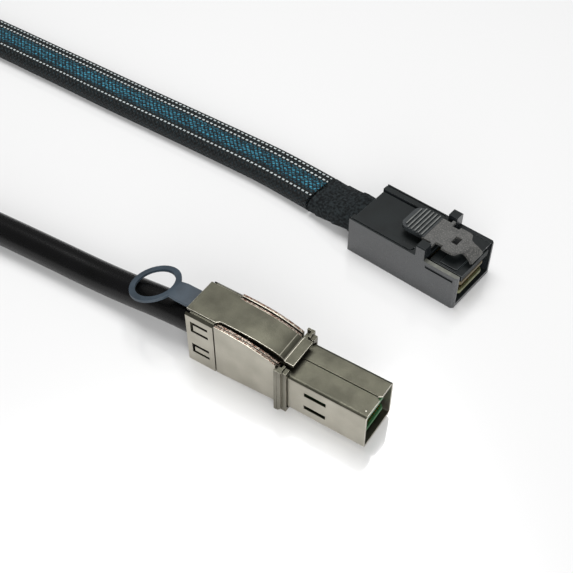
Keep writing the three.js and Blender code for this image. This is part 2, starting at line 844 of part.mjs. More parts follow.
function latchLever() {
  const rear = -postSetback - postLength - 0.7;
  const bend = [
    [rear - 0.5, leverTop],
    [-3.0, leverTop],
    [-1.4, leverTop - leverNoseDrop * 0.45],
    [-0.3, leverTop - leverNoseDrop],
    [0.2, leverTop - leverNoseDrop - 0.7],
  ];
  const reach = intWidth / 2;
  let lever = sheet(bend, leverSheet, [-reach, reach]).intersect(planCut(leverPlan(), [0, beyond]));
  const hole = [-postSetback + 2.8, -postSetback + 2.8 + catchLength];
  lever = lever.subtract(block(hole, [-catchWidth / 2, catchWidth / 2], [0, beyond]));
  const half = padWidth / 2;
  const padRear = rear - padLength;
  const pad = new THREE.Shape();
  pad.moveTo(rear, -half);
  pad.lineTo(rear, half);
  pad.lineTo(padRear + padCorner, half);
  pad.absarc(padRear + padCorner, half - padCorner, padCorner, Math.PI / 2, Math.PI);
  pad.absarc(padRear + padCorner, padCorner - half, padCorner, Math.PI, Math.PI * 1.5);
  const padTop = leverTop + 0.2;
  lever = lever.add(planCut(pad, [padTop - padThickness, padTop]));
  const pitch = (padLength - 1.2) / padRibs;
  for (let i = 0; i < padRibs; i++) {
    const start = padRear + 1.2 + i * pitch;
    const ribHalf = i === 0 ? half - 0.9 : half;
    const rib = sideCut(
      [
        [start, padTop - join],
        [start + padRibWidth, padTop - join],
        [start + padRibWidth * 0.8, padTop + padRibHeight],
        [start + padRibWidth * 0.2, padTop + padRibHeight],
      ],
      [-ribHalf, ribHalf],
    );
    lever = lever.add(rib);
  }
  return lever;
}

function insulator() {
  const half = intWidth / 2 - intWall - insulatorTrench;
  const rear = gap - postSetback;
  const front = -0.15;
  const bottom = insulatorHeight - insulatorThickness;
  let body = block([rear, front], [-half, half], [bottom, insulatorHeight]);
  const padFront = front - insulatorPadSetback;
  const [near, far] = insulatorPadEdges;
  const raised = [
    [padFront - insulatorPadLength, near],
    [padFront - padBlunt, near],
    [padFront, near + padBlunt],
    [padFront, far],
    [padFront - insulatorPadLength, far],
  ];
  body = body.add(planCut(raised, [insulatorHeight - join, insulatorHeight + insulatorPad]));
  const side = intWidth / 2 - intWall - gap;
  let comb = block([rear, rear + combLength], [-side, side], [intWall + gap, bottom + join]);
  for (const height of [intCardHeight, intCardHeight + intCardPitch]) {
    const slotHalf = intCardWidth / 2 + gap;
    const rise = cardThickness / 2 + gap;
    comb = comb.subtract(
      block([rear - 1, rear + combLength + 1], [-slotHalf, slotHalf], [height - rise, height + rise]),
    );
  }
  return body.add(comb);
}

// Cable

function wrap() {
  const section = roundedRect(2, 2, 0.7);
  return taper(section, [wrapRear, wrapFront], 6, (share) => {
    const grow = THREE.MathUtils.smoothstep(share, 0, 0.75);
    const halfHeight = mix(wrapRearHeight, wrapFrontHeight, grow) / 2;
    return {
      halfWidth: mix(wrapRearWidth, wrapFrontWidth, grow) / 2,
      halfHeight,
      middle: halfHeight + mix(0.1, intWall + gap, grow),
      aside: mix(wrapShift, 0, THREE.MathUtils.smoothstep(share, 0, 0.6)),
    };
  });
}

function routeTube(route, section, steps) {
  const path = new THREE.CatmullRomCurve3(route.map((point) => new THREE.Vector3(...point)));
  return solid(new THREE.ExtrudeGeometry(section, { steps, extrudePath: path, curveSegments: 3 }));
}

function cable() {
  const section = new THREE.Shape();
  for (let i = 0; i < 12; i++) {
    const angle = (i / 12) * Math.PI * 2;
    const [a, b] = [Math.cos(angle) * (cableDiameter / 2), Math.sin(angle) * (cableDiameter / 2)];
    if (i === 0) section.moveTo(a, b);
    else section.lineTo(a, b);
  }
  return routeTube([[ferruleFront, 0, cableHeight], ...cableRoute], section, 36);
}

function sleeve() {
  const half = [sleeveThickness / 2, sleeveWidth / 2];
  const cut = sleeveCorner * 0.75;
  const section = outline([
    [-half[0], cut - half[1]],
    [cut - half[0], -half[1]],
    [half[0] - cut, -half[1]],
    [half[0], cut - half[1]],
    [half[0], half[1] - cut],
    [half[0] - cut, half[1]],
    [cut - half[0], half[1]],
    [-half[0], half[1] - cut],
  ]);
  return routeTube(sleeveRoute, section, 14);
}

function boot() {
  const section = new THREE.Shape();
  section.absarc(0, 0, 1, 0, Math.PI * 2);
  return taper(section, [bootStart.x, bootEnd.x], 8, (share) => {
    const flat = THREE.MathUtils.smoothstep(share, 0.25, 0.85);
    const ends = Math.min(1, 0.88 + 0.9 * Math.min(share, 1 - share));
    return {
      halfWidth: (mix(bootRoundDiameter, bootFlatWidth, flat) / 2) * ends,
      halfHeight: (mix(bootRoundDiameter, bootFlatHeight, flat) / 2) * ends,
      middle: mix(bootRoundDiameter / 2, bootFlatHeight / 2, flat),
      aside: bootStart.y,
    };
  });
}

// Assembly

function externalPlug() {
  const plug = new THREE.Group();
  const cardFront = noseTip - extCardSetback;
  const cardRear = cardFront - extCardLength;
  const upperCard = extCardHeight + cardPitch;
  const wireRear = ferruleFront + gap;
  const wireUp = cableHeight + wireThickness * 0.8;
  const wireDown = cableHeight - wireThickness * 0.8;
  piece(plug, "ext_lower_shell", lowerShell(), "nickel");
  piece(plug, "ext_upper_shell", upperShell(), "nickelDark");
  piece(plug, "ext_rear_band", rearBand(), "nickel");
  piece(plug, "ext_top_cover", topCover(), "nickelDark");
  piece(plug, "ext_flange", flange(), "nickel");
  piece(plug, "ext_nose_shell", noseShell(), "nickel");
  piece(plug, "ext_card_holder", cardHolder(), "blackPlastic");
  piece(plug, "ext_card_upper", card(extCardLength, extCardWidth, cardFront, upperCard), "card");
  piece(plug, "ext_card_lower", card(extCardLength, extCardWidth, cardFront, extCardHeight), "card");
  const ends = [cardRear - gap, upperCard, extCardHeight];
  piece(plug, "ext_wires_upper", wireBand([wireRear, wireUp], [ends[0], ends[1]], extWireWidth), "wire");
  piece(plug, "ext_wires_lower", wireBand([wireRear, wireDown], [ends[0], ends[2]], extWireWidth), "wire");
  piece(plug, "ext_cable_ferrule", ferrule(), "brass");
  piece(plug, "ext_latch_arm", latchArm(), "nickel");
  piece(plug, "ext_release_slider", slider(), "nickel");
  piece(plug, "ext_pull_tab", pullTab(), "blue");
  return plug;
}

function internalPlug() {
  const plug = new THREE.Group();
  const cardRear = -intCardSetback - intCardLength;
  const upperCard = intCardHeight + intCardPitch;
  const wireRear = wrapFront + gap;
  const middle = intWall + gap + wrapFrontHeight / 2;
  const spread = wireThickness * 0.8;
  piece(plug, "int_housing", intHousing(), "blackPlastic");
  piece(plug, "int_top_cover", intCover(), "blackPlastic");
  piece(plug, "int_latch_lever", latchLever(), "greyPlastic");
  piece(plug, "int_insulator", insulator(), "blackPlastic");
  piece(plug, "int_card_upper", card(intCardLength, intCardWidth, -intCardSetback, upperCard), "card");
  piece(plug, "int_card_lower", card(intCardLength, intCardWidth, -intCardSetback, intCardHeight), "card");
  const ends = [cardRear - gap, upperCard, intCardHeight];
  piece(plug, "int_wires_upper", wireBand([wireRear, middle + spread], [ends[0], ends[1]], intWireWidth), "wire");
  piece(plug, "int_wires_lower", wireBand([wireRear, middle - spread], [ends[0], ends[2]], intWireWidth), "wire");
  piece(plug, "int_cable_wrap", wrap(), "wrap");
  plug.rotation.z = intYaw;
  const end = new THREE.Vector3(wrapRear, wrapShift, 0).applyEuler(plug.rotation);
  plug.position.copy(wrapEnd).sub(end);
  return plug;
}

function freeCable() {
  const run = new THREE.Group();
  piece(run, "cable_round", cable(), "jacket");
  piece(run, "cable_boot", boot(), "wrap");
  piece(run, "cable_sleeve", sleeve(), "braid");
  return run;
}

const assembly = new THREE.Group();
assembly.add(externalPlug(), internalPlug(), freeCable());

export default assembly;
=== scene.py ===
import bmesh
import bpy
import math
from mathutils import Matrix, Vector


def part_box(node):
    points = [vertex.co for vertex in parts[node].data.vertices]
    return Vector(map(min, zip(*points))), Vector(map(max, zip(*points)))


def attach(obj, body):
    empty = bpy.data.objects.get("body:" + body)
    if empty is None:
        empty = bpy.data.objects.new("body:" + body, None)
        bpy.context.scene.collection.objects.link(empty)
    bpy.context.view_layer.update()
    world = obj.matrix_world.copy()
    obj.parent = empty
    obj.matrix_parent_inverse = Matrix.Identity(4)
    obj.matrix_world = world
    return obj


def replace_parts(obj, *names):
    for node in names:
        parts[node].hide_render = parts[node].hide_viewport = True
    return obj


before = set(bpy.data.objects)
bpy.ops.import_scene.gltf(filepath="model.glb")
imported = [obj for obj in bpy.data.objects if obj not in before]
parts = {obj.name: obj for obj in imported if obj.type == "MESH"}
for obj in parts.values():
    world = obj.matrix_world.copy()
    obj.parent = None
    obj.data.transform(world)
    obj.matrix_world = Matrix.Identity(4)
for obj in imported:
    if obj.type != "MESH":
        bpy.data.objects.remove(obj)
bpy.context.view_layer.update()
root = "plugs_and_cable"


# Camera at the photograph's angle
camera = {
    "place": (0.0751, -0.1180, 0.1888), "azimuth": 33.4, "down": 47.6,
    "focal": 1000, "width": 573, "sensor": 36, "nearest": 0.01,
}


def addCamera(s):
    data = bpy.data.cameras.new("camera")
    data.sensor_width = s["sensor"]
    data.lens = s["sensor"] * s["focal"] / s["width"]
    data.clip_start = s["nearest"]
    made = bpy.data.objects.new("camera", data)
    made.location = s["place"]
    made.rotation_euler = (math.radians(90 - s["down"]), 0, math.radians(s["azimuth"]))
    bpy.context.scene.collection.objects.link(made)
    bpy.context.scene.camera = made


addCamera(camera)
print("camera placed")


# Colours are written as sRGB hex and used as linear values
def linear(text):
    parted = [int(text[i:i + 2], 16) / 255 for i in (1, 3, 5)]
    return (*[c / 12.92 if c <= 0.04045 else ((c + 0.055) / 1.055) ** 2.4 for c in parted], 1)


# Adds one node: inputs are values or sockets, settings are the node's own
def add(tree, kind, inputs=None, **settings):
    made = tree.nodes.new("ShaderNode" + kind)
    for key, value in settings.items():
        setattr(made, key, value)
    for key, value in (inputs or {}).items():
        if isinstance(value, bpy.types.NodeSocket):
            tree.links.new(value, made.inputs[key])
        else:
            made.inputs[key].default_value = value
    return made


def startMaterial(name):
    made = bpy.data.materials.new(name)
    made.use_nodes = True
    made.node_tree.nodes.clear()
    return made, made.node_tree


def endMaterial(tree, inputs):
    shader = add(tree, "BsdfPrincipled", inputs)
    add(tree, "OutputMaterial", {"Surface": shader.outputs[0]})


# Two colours mixed by a 0 to 1 socket
def blendOf(tree, share, low, high):
    made = add(tree, "Mix", {"Factor": share}, data_type="RGBA")
    for socket, value in ((made.inputs[6], low), (made.inputs[7], high)):
        if isinstance(value, bpy.types.NodeSocket):
            tree.links.new(value, socket)
        else:
            socket.default_value = linear(value)
    return made.outputs[2]


# Noise on Object coordinates: grain is the size of one patch in millimetres
def grainOf(tree, grain, detail=2.0, low=0.35, high=0.65, stretch=(1, 1, 1)):
    place = add(tree, "TexCoord")
    turned = add(tree, "Mapping", {"Vector": place.outputs["Object"], "Scale": stretch})
    speck = add(tree, "TexNoise", {"Vector": turned.outputs[0], "Scale": 1000 / grain, "Detail": detail})
    return add(tree, "MapRange", {"Value": speck.outputs[0], "From Min": low, "From Max": high}).outputs[0]


def bumpOf(tree, height, depth, strength=1.0):
    return add(tree, "Bump", {"Height": height, "Distance": depth / 1000, "Strength": strength}).outputs[0]


# Nickel-plated sheet: warm grey, satin, with faint rolling grain and cloudy tone
# Each bend is a line across the sheet at one X, in millimetres, painted bright as a highlight
def nickelPlate(name, s):
    made, tree = startMaterial(name)
    cloud = grainOf(tree, s["cloud"], 3)
    fine = grainOf(tree, s["grain"], 2, 0.3, 0.7)
    tone = blendOf(tree, cloud, s["dark"], s["light"])
    for bend in s.get("bends", ()):
        place = add(tree, "SeparateXYZ", {0: add(tree, "TexCoord").outputs["Object"]})
        away = add(tree, "Math", {0: place.outputs[0], 1: bend / 1000}, operation="SUBTRACT")
        away = add(tree, "Math", {0: away.outputs[0]}, operation="ABSOLUTE")
        near = add(tree, "MapRange", {
            "Value": away.outputs[0], "From Min": s["bendWidth"] / 4000, "From Max": s["bendWidth"] / 2000,
            "To Min": 1, "To Max": 0})
        tone = blendOf(tree, near.outputs[0], tone, s["bendHighlight"])
    rough = add(tree, "MapRange", {"Value": fine, "To Min": s["rough"][0], "To Max": s["rough"][1]})
    endMaterial(tree, {
        "Base Color": tone, "Metallic": 1.0, "Roughness": rough.outputs[0],
        "Normal": bumpOf(tree, fine, s["depth"]),
    })
    return made


# Sheared edge of the plated sheet: the copper alloy shows through in sparkling specks
def shearedEdge(name, s):
    made, tree = startMaterial(name)
    speck = grainOf(tree, s["grain"], 2, 0.42, 0.58)
    patch = grainOf(tree, s["patch"], 1, 0.4, 0.6)
    tone = blendOf(tree, patch, blendOf(tree, speck, s["dark"], s["copper"]), s["bright"])
    endMaterial(tree, {
        "Base Color": tone, "Metallic": 1.0, "Roughness": 0.3, "Normal": bumpOf(tree, speck, s["depth"]),
    })
    return made


# Moulded plastic: spark-eroded grain, satin
def mouldedPlastic(name, s):
    made, tree = startMaterial(name)
    cloud = grainOf(tree, s["cloud"], 2)
    fine = grainOf(tree, s["grain"], 2, 0.3, 0.7)
    tone = blendOf(tree, cloud, s["dark"], s["light"])
    if "speck" in s:
        tone = blendOf(tree, grainOf(tree, s["grain"] * 1.6, 1, 0.5, 0.68), tone, s["speck"])
    rough = add(tree, "MapRange", {"Value": fine, "To Min": s["rough"][0], "To Max": s["rough"][1]})
    endMaterial(tree, {
        "Base Color": tone, "Roughness": rough.outputs[0], "IOR": s.get("ior", 1.5),
        "Normal": bumpOf(tree, fine, s["depth"]),
    })
    return made


# Cloth tape: matt black threads with a mottled nap
def clothTape(name, s):
    made, tree = startMaterial(name)
    mottle = grainOf(tree, s["mottle"], 2, 0.4, 0.62)
    place = add(tree, "TexCoord")
    weave = add(tree, "TexVoronoi", {"Vector": place.outputs["Object"], "Scale": 1000 / s["thread"]})
    height = add(tree, "Math", {0: weave.outputs["Distance"], 1: mottle}, operation="MULTIPLY")
    endMaterial(tree, {
        "Base Color": blendOf(tree, mottle, s["dark"], s["light"]), "Roughness": 0.85, "IOR": 1.3,
        "Normal": bumpOf(tree, height.outputs[0], s["depth"]),
    })
    return made


nickelSide = nickelPlate("nickel_plate", {
    "dark": "#a6a296", "light": "#b6b2a6", "cloud": 7, "grain": 0.28, "rough": (0.32, 0.44), "depth": 0.006})
# Half-shaded copy of the same nickel for the flange rim's faces: painted shade
nickelRimHalfShade = nickelPlate("nickel_plate_half_shade", {
    "dark": "#77746a", "light": "#88857a", "cloud": 5, "grain": 0.28, "rough": (0.34, 0.46), "depth": 0.008})
# Bright copy of the same nickel: painted highlight on the nose's rim edges and on the dimple
nickelHighlightCopy = nickelPlate("nickel_plate_painted_highlight", {
    "dark": "#c2beb2", "light": "#d4d0c5", "cloud": 3, "grain": 0.3, "rough": (0.3, 0.4), "depth": 0.004})
# Shaded copy of the same nickel: the flat tops of the plated sheet are painted this much darker as shade
shadedTopPlate = {
    "dark": "#4a4940", "light": "#5a594e", "cloud": 5, "grain": 0.25, "rough": (0.38, 0.52), "depth": 0.012,
}
nickelShadedTop = nickelPlate("nickel_plate_painted_shade", shadedTopPlate)
# The top cover takes the shaded copy, with a painted highlight along each bend line
coverPlate = nickelPlate("nickel_plate_painted_shade_bent", {
    **shadedTopPlate, "bends": (-2.1, -0.85), "bendWidth": 0.26, "bendHighlight": "#8f8c7f"})
edgeCopper = shearedEdge("sheared_edge", {
    "dark": "#2a2420", "copper": "#8c6a5c", "bright": "#a89c90",
    "grain": 0.16, "patch": 0.55, "depth": 0.03})
blackHousing = mouldedPlastic("moulded_black_pbt", {
    "dark": "#0a0f10", "light": "#111718", "cloud": 6, "grain": 0.22, "rough": (0.52, 0.64), "depth": 0.012,
    "ior": 1.36})
# Copy for the housing's side faces: glossier, and its colour painted a little lighter than the top's as lit
# sides
blackPolishedLitSide = mouldedPlastic("polished_black_pbt_lit_side", {
    "dark": "#14171a", "light": "#1a1e21", "cloud": 6, "grain": 0.3, "rough": (0.26, 0.34), "depth": 0.004,
    "ior": 1.9})
wornLedge = mouldedPlastic("rubbed_grey_pbt", {
    "dark": "#51524c", "light": "#686961", "cloud": 2, "grain": 0.25, "rough": (0.4, 0.55), "depth": 0.012})
greyLever = mouldedPlastic("moulded_grey_pbt", {
    "dark": "#3c3c3b", "light": "#4c4c4a", "speck": "#62615e", "cloud": 2.5, "grain": 0.22,
    "rough": (0.42, 0.6), "depth": 0.02})
# Darker grey for the thumb pad of the grey lever: painted shade among its ribs
padShadeGrey = mouldedPlastic("grey_pbt_painted_shade", {
    "dark": "#1f2325", "light": "#2a2f31", "cloud": 3, "grain": 0.25, "rough": (0.4, 0.55), "depth": 0.01})
# Pale grey for the crests of the pad's ribs: painted highlight
ribCrestHighlight = mouldedPlastic("rib_crest_painted_highlight", {
    "dark": "#585a58", "light": "#6f716e", "cloud": 2, "grain": 0.3, "rough": (0.4, 0.5), "depth": 0.01})
tabBlue = mouldedPlastic("moulded_slate_blue_tpe", {
    "dark": "#26323c", "light": "#303d48", "cloud": 4, "grain": 0.3, "rough": (0.46, 0.6), "depth": 0.008})
jacketBlack = mouldedPlastic("extruded_black_pvc", {
    "dark": "#040404", "light": "#070708", "cloud": 9, "grain": 0.4, "rough": (0.24, 0.3), "depth": 0.005,
    "ior": 1.32})
bootBlack = mouldedPlastic("shrunk_black_boot", {
    "dark": "#141617", "light": "#1c1e1f", "cloud": 5, "grain": 0.5, "rough": (0.5, 0.65), "depth": 0.03})
boardGreen = mouldedPlastic("solder_mask_green", {
    "dark": "#2c5a37", "light": "#3a6b42", "cloud": 3, "grain": 0.3, "rough": (0.3, 0.4), "depth": 0.004})
boardOlive = mouldedPlastic("solder_mask_olive", {
    "dark": "#55563b", "light": "#6e7052", "cloud": 3, "grain": 0.3, "rough": (0.3, 0.42), "depth": 0.004})
# Brown for the upper card in the internal plug's mouth: painted shade of the recess it sits in
boardShadeBrown = mouldedPlastic("board_painted_shade_brown", {
    "dark": "#3f3622", "light": "#5a4e31", "cloud": 2, "grain": 0.3, "rough": (0.45, 0.6), "depth": 0.006})
contactGold = nickelPlate("contact_gold", {
    "dark": "#a98a45", "light": "#bd9f58", "cloud": 1.5, "grain": 0.2,
    "rough": (0.24, 0.34), "depth": 0.003})
foil = nickelPlate("wire_foil", {
    "dark": "#a5a8ac", "light": "#c4c7ca", "cloud": 2, "grain": 0.4, "rough": (0.25, 0.4), "depth": 0.02})
wrapTape = clothTape("cloth_tape", {
    "dark": "#05080a", "light": "#23292b", "mottle": 0.7, "thread": 0.4, "depth": 0.14})
# Lighter black for rounded edges that face up or sideways: painted highlight
blackHighlightCopy = mouldedPlastic("black_edge_painted_highlight", {
    "dark": "#25292a", "light": "#34393a", "cloud": 1.5, "grain": 0.25, "rough": (0.35, 0.5), "depth": 0.01})
print("materials made")


# Puts a finished bmesh in the scene as a piece on a body; faces meet smoothly below the crease angle
def addPiece(name, mesh, body, materials, crease=40):
    for face in mesh.faces:
        face.smooth = True
    for edge in mesh.edges:
        edge.smooth = len(edge.link_faces) == 2 and edge.calc_face_angle(0) < math.radians(crease)
    data = bpy.data.meshes.new(name)
    mesh.to_mesh(data)
    mesh.free()
    for material in materials:
        data.materials.append(material)
    made = bpy.data.objects.new(name, data)
    bpy.context.scene.collection.objects.link(made)
    weighted = made.modifiers.new("weighted", "WEIGHTED_NORMAL")
    weighted.keep_sharp = True
    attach(made, body)
    return made


# A copy of a CAD node with its facets joined and its sharp edges broken by a small radius
# Gives the copy and the faces of the breaks
def brokenEdges(node, radius, angle=24, segments=2):
    mesh = bmesh.new()
    mesh.from_mesh(parts[node].data)
    bmesh.ops.remove_doubles(mesh, verts=mesh.verts, dist=2e-6)
    bmesh.ops.dissolve_limit(mesh, angle_limit=math.radians(0.6), verts=mesh.verts, edges=mesh.edges)
    sharp = [e for e in mesh.edges if len(e.link_faces) == 2 and e.calc_face_angle(0) > math.radians(angle)]
    made = bmesh.ops.bevel(mesh, geom=sharp, offset=radius / 1000, offset_type="OFFSET", affect="EDGES",
                           segments=segments, profile=0.5, material=-1, clamp_overlap=True)
    return mesh, set(made["faces"])


def dress(node, name, body, materials, slotName, radius, paint=None, **more):
    mesh, broken = brokenEdges(node, radius, **more)
    if paint:
        for face in mesh.faces:
            face.material_index = paint(face, face in broken)
    made = addPiece(name, mesh, body, materials)
    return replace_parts(made, node)


# Which way a face looks, by the height of its normal
facing = {"top": 0.7, "up": 0.6, "sloped": 0.4, "side": 0.5, "under": -0.2}
shearedTop = {"low": 0.0125, "front": -0.0018}  # the stretch of the walls' tops where the cut metal shows
mouthFront = 0.0213  # the nose's rim lies ahead of this


# External plug: plated sheet pieces
# Flat tops of the plated sheet take the shaded copy: painted shade
def topIsPaintedShade(face, broken):
    return 1 if face.normal.z > facing["up"] and not broken else 0


# Rounded edges of the top cover take the lighter nickel: painted highlight
def coverEdgeHighlight(face, broken):
    return 1 if broken else 0


# Rounded edges of the flange take the lighter nickel as painted highlight; its flat tops take the shaded
# copy as painted shade
def rimEdgeHighlight(face, broken):
    return 2 if broken else topIsPaintedShade(face, broken)


# Rounded edges at the nose's rim take the bright copy as painted highlight; flat tops take the shaded copy
# as painted shade
def mouthEdgeHighlight(face, broken):
    if broken and face.calc_center_median().x > mouthFront:
        return 2
    return 1 if face.normal.z > facing["up"] else 0


def wallTopIsSheared(face, broken):
    centre = face.calc_center_median()
    onTop = centre.z > shearedTop["low"] and centre.x < shearedTop["front"]
    if face.normal.z > facing["sloped"] and onTop and not broken:
        return 2
    return topIsPaintedShade(face, broken)


plated = [nickelSide, nickelShadedTop, edgeCopper]
dress("ext_lower_shell", "side_plates", root, plated, "nickel", 0.14, wallTopIsSheared)
dress("ext_upper_shell", "inner_lid_and_rails", root, plated, "dark_nickel", 0.08, wallTopIsSheared)
dress("ext_rear_band", "rear_band", root, plated, "nickel", 0.1, topIsPaintedShade)
dress("ext_top_cover", "top_cover", root, [coverPlate, nickelSide], "dark_nickel", 0.1, coverEdgeHighlight)
dress("ext_flange", "flange_rim", root, [nickelRimHalfShade, nickelShadedTop, nickelSide], "nickel", 0.1, rimEdgeHighlight)
dress("ext_nose_shell", "nose_tube", root, [nickelSide, nickelShadedTop, nickelHighlightCopy], "nickel", 0.1, mouthEdgeHighlight)
# The latch hooks and the release slider take the shaded nickel copy on every face: painted shade
dress("ext_latch_arm", "latch_hooks", "latch_arm", [nickelShadedTop], "nickel", 0.06)
dress("ext_release_slider", "release_slider", "release_tab", [nickelShadedTop], "nickel", 0.1)
dress("ext_pull_tab", "pull_ring_and_strap", "release_tab", [tabBlue], "blue_plastic", 0.22, segments=3)


# Small dimple pressed in the nose's top, near its front edge, painted bright as a highlight
def addDimple(name, s):
    mesh = bmesh.new()
    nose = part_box("ext_nose_shell")
    place = Matrix.Translation((nose[1][0] - s["back"] / 1000, s["across"] / 1000, nose[1][2]))
    size = Matrix.Diagonal((s["radius"] / 1000, s["radius"] / 1000, s["rise"] / 1000, 1))
    bmesh.ops.create_uvsphere(mesh, u_segments=16, v_segments=8, radius=1, matrix=place @ size)
    return addPiece(name, mesh, root, [nickelHighlightCopy])


addDimple("nose_dimple", {"back": 1.1, "across": -4.2, "radius": 0.2, "rise": 0.06})
print("external plug dressed")


# Internal plug: moulded pieces
intTurn = Matrix.Translation((0.019997, 0.050807, 0)) @ Matrix.Rotation(math.radians(-6.5), 4, "Z")
intBack = intTurn.inverted()

# Rubbed top of the near wall, then the thumb pad, painted darker as shade, and its rib crests, painted pale
# as highlight, in the plug's own axes
ledge = {"rear": -0.0100, "edge": -0.0072, "low": 0.0103, "high": 0.0112}
pad = {"front": -0.0133, "crest": 0.0142}


# Rounded edges that don't face down take the lighter black: painted highlight
def plasticEdgeHighlight(face, broken):
    return 1 if broken and face.normal.z > facing["under"] else 0


# Near wall's ledge in grey; rounded edges painted lighter as highlight; side faces on the polished copy,
# painted a little lighter as lit
def housingLedgeAndPaintedLight(face, broken):
    centre = intBack @ face.calc_center_median()
    onWall = centre.x > ledge["rear"] and centre.y < ledge["edge"]
    if face.normal.z > facing["top"] and onWall and ledge["low"] < centre.z < ledge["high"]:
        return 1
    if plasticEdgeHighlight(face, broken):
        return 3
    return 2 if abs(face.normal.z) < facing["side"] else 0


# Thumb pad painted darker grey as shade, rib crests painted pale as highlight
def padShadeAndCrestHighlight(face, broken):
    centre = intBack @ face.calc_center_median()
    if centre.z > pad["crest"] and face.normal.z > facing["side"]:
        return 2
    return 1 if centre.x < pad["front"] else 0


dress("int_housing", "plug_housing", root, [blackHousing, wornLedge, blackPolishedLitSide, blackHighlightCopy],
      "black_plastic", 0.16, housingLedgeAndPaintedLight)
dress("int_top_cover", "plug_top_cover", root, [blackHousing, blackHighlightCopy], "black_plastic", 0.12,
      plasticEdgeHighlight)
dress("int_insulator", "card_block", root, [blackHousing, blackHighlightCopy], "black_plastic", 0.14,
      plasticEdgeHighlight)
dress("int_latch_lever", "thumb_lever", "latch_lever", [greyLever, padShadeGrey, ribCrestHighlight], "grey_plastic", 0.12,
      padShadeAndCrestHighlight)
print("internal plug dressed")


# Cards: contact fingers on both faces behind the leading edge
def addFingers(name, s, height, toWorld):
    low, high = s["x"]
    mesh = bmesh.new()
    count = s["count"]
    for face in (-1, 1):
        for i in range(count):
            across = (i - (count - 1) / 2) * s["pitch"]
            level = height + face * (s["card"] / 2 + s["plate"] / 2)
            size = Matrix.Diagonal((high - low, s["width"], s["plate"], 1))
            place = Matrix.Translation(((low + high) / 2, across, level))
            bmesh.ops.create_cube(mesh, size=1, matrix=place @ size)
    bmesh.ops.scale(mesh, vec=(0.001, 0.001, 0.001), verts=mesh.verts)
    bmesh.ops.transform(mesh, matrix=toWorld, verts=mesh.verts)
    return addPiece(name, mesh, root, [contactGold])


extFingers = {"x": (17.2, 20.1), "count": 10, "pitch": 0.8, "width": 0.5, "card": 1.0, "plate": 0.06}
intFingers = {"x": (-4.2, -1.1), "count": 12, "pitch": 0.8, "width": 0.5, "card": 1.0, "plate": 0.06}
for label, height in (("upper", 8.1), ("lower", 3.9)):
    addFingers("ext_contacts_" + label, extFingers, height, Matrix())
for label, height in (("upper", 6.05), ("lower", 2.9)):
    addFingers("int_contacts_" + label, intFingers, height, intTurn)


def paintNode(node, material):
    for holder in parts[node].material_slots:
        holder.material = material


for node in ("ext_card_upper", "ext_card_lower"):
    paintNode(node, boardGreen)
# The upper card is painted brown as shade inside the mouth
paintNode("int_card_upper", boardShadeBrown)
paintNode("int_card_lower", boardOlive)
for node in ("ext_wires_upper", "ext_wires_lower", "int_wires_upper", "int_wires_lower"):
    paintNode(node, foil)
paintNode("ext_card_holder", blackHousing)
# The ferrule takes the shaded nickel copy so that it reads dark inside the band's slots: painted shade
paintNode("ext_cable_ferrule", nickelShadedTop)
print("cards and wires dressed")


# Free cable: the part's route points in millimetres
roundRoute = [
    (-20.75, 0, 7.2), (-27, 0, 7.2), (-33.5, 0, 6.95), (-40.5, 0, 6.2), (-48.5, -0.05, 5.1),
    (-58, -0.2, 4.25), (-74, -0.7, 4.05), (-90, -1.4, 4.05), (-108, -2.4, 4.05), (-128, -4, 4.05),
    (-148, -5.6, 4.05), (-170, -6.8, 4.05), (-190, -7.3, 4.05), (-206, -7, 4.05), (-223, -2.6, 4.05),
    (-236, 9.5, 4.05), (-241.5, 28.5, 4.05), (-236.5, 47, 4.05), (-224, 59.6, 4.05), (-213, 63.7, 4.8),
    (-203.6, 64, 5),
]
flatRoute = [
    (-29.4, 57.65, 2.95), (-38, 58.9, 2.75), (-48, 60, 2.65), (-60, 60.6, 2.6), (-74, 61.1, 2.6),
    (-90, 61.6, 2.6), (-106, 62.1, 2.6), (-122, 62.8, 2.6), (-138, 63.4, 2.6), (-154, 63.9, 2.7),
    (-168.9, 64, 3.1),
]


# Smooth line through the points, in metres, tightest where they lie close
def smoothLine(points, perSpan):
    line = [Vector(p) / 1000 for p in points]
    ends = [2 * line[0] - line[1]] + line + [2 * line[-1] - line[-2]]
    made = []
    for a, b, c, d in zip(ends, ends[1:], ends[2:], ends[3:]):
        knots = [0]
        for p, q in ((a, b), (b, c), (c, d)):
            knots.append(knots[-1] + (q - p).length ** 0.5)
        k0, k1, k2, k3 = knots
        for i in range(perSpan):
            x = k1 + (k2 - k1) * i / perSpan
            ab = a.lerp(b, (x - k0) / (k1 - k0))
            bc = b.lerp(c, (x - k1) / (k2 - k1))
            cd = c.lerp(d, (x - k2) / (k3 - k2))
            near, far = ab.lerp(bc, (x - k0) / (k2 - k0)), bc.lerp(cd, (x - k1) / (k3 - k1))
            made.append(near.lerp(far, (x - k1) / (k2 - k1)))
    return made + [line[-1]]


# Frame of one place on a line: X across, Y up, Z along
def lineFrame(line, i):
    along = (line[min(i + 1, len(line) - 1)] - line[max(i - 1, 0)]).normalized()
    across = along.cross(Vector((0, 0, 1))).normalized()
    turned = Matrix((across, across.cross(along), along)).transposed().to_4x4()
    return Matrix.Translation(line[i]) @ turned


